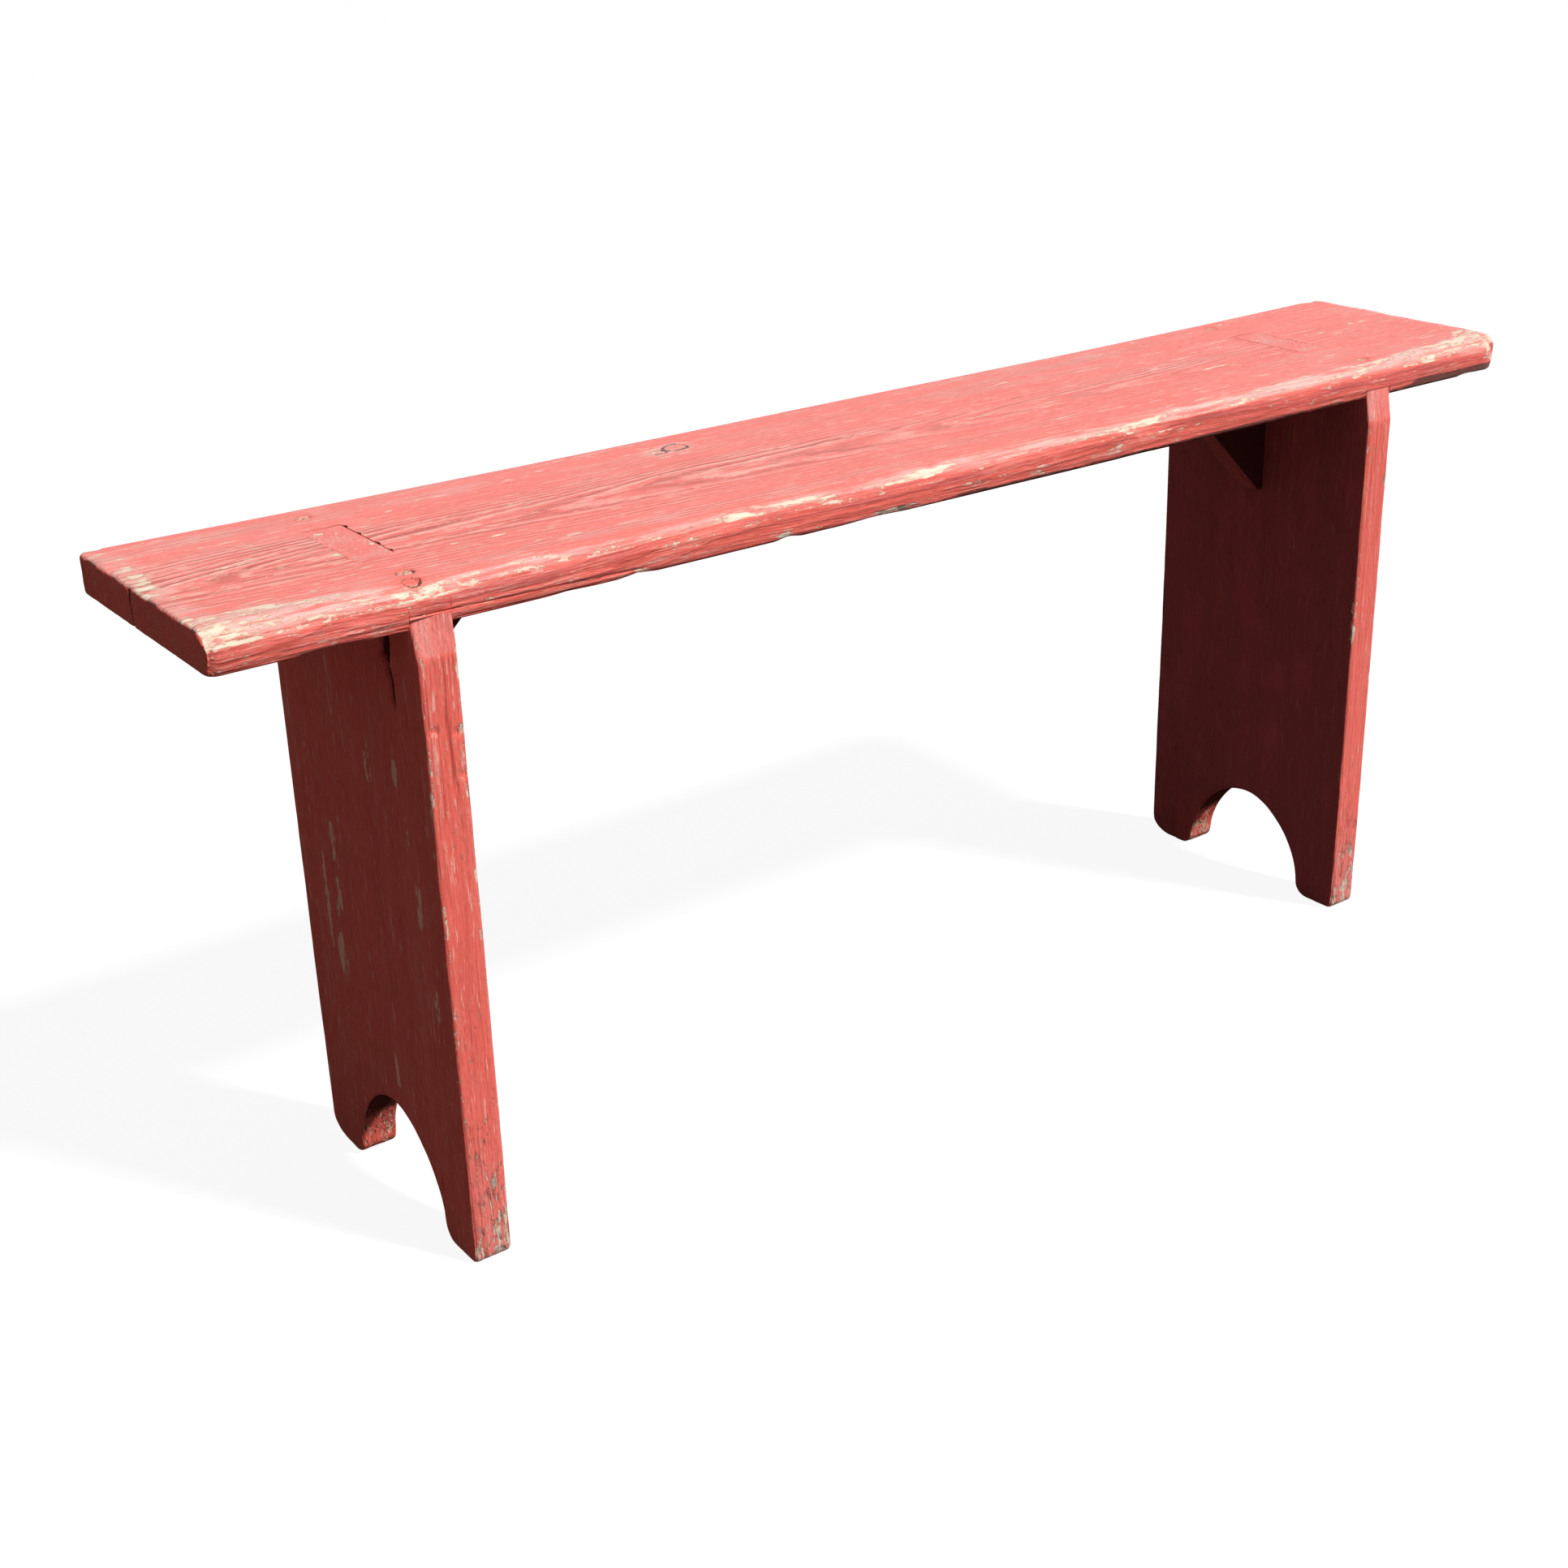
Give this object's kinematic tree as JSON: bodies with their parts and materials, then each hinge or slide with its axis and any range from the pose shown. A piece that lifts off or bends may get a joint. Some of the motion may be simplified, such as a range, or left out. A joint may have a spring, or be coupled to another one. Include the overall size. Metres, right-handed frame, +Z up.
{
  "type": "wooden bench",
  "caption": "Long narrow plank bench: a board seat with rounded edges on board legs with arched feet, tenoned through the seat and stiffened by triangular corner braces.",
  "frame": {"origin": "on the floor under the middle of the whole bench", "axes": "+X along the seat to its right end as seen from the front, +Y to the back, +Z up"},
  "size_m": [1.075, 0.207, 0.45],
  "materials": {
    "seat_paint": "old red paint, sun-faded on top and worn to bare wood along the front edge",
    "leg_paint": "old red paint, bare wood at the feet",
    "brace_paint": "old dark red paint",
    "nail_iron": "dull, rusted and partly painted over"
  },
  "bodies": {
    "root": {"seat_board": "seat_paint", "leg_left": "leg_paint", "leg_right": "leg_paint", "brace_left": "brace_paint", "brace_right": "brace_paint", "seat_nail_left_1": "nail_iron", "seat_nail_left_2": "nail_iron", "seat_nail_left_3": "nail_iron", "seat_nail_right_1": "nail_iron", "seat_nail_right_2": "nail_iron", "brace_nail_left_1": "nail_iron", "brace_nail_left_2": "nail_iron", "brace_nail_right_1": "nail_iron", "brace_nail_right_2": "nail_iron"}
  },
  "joints": []
}
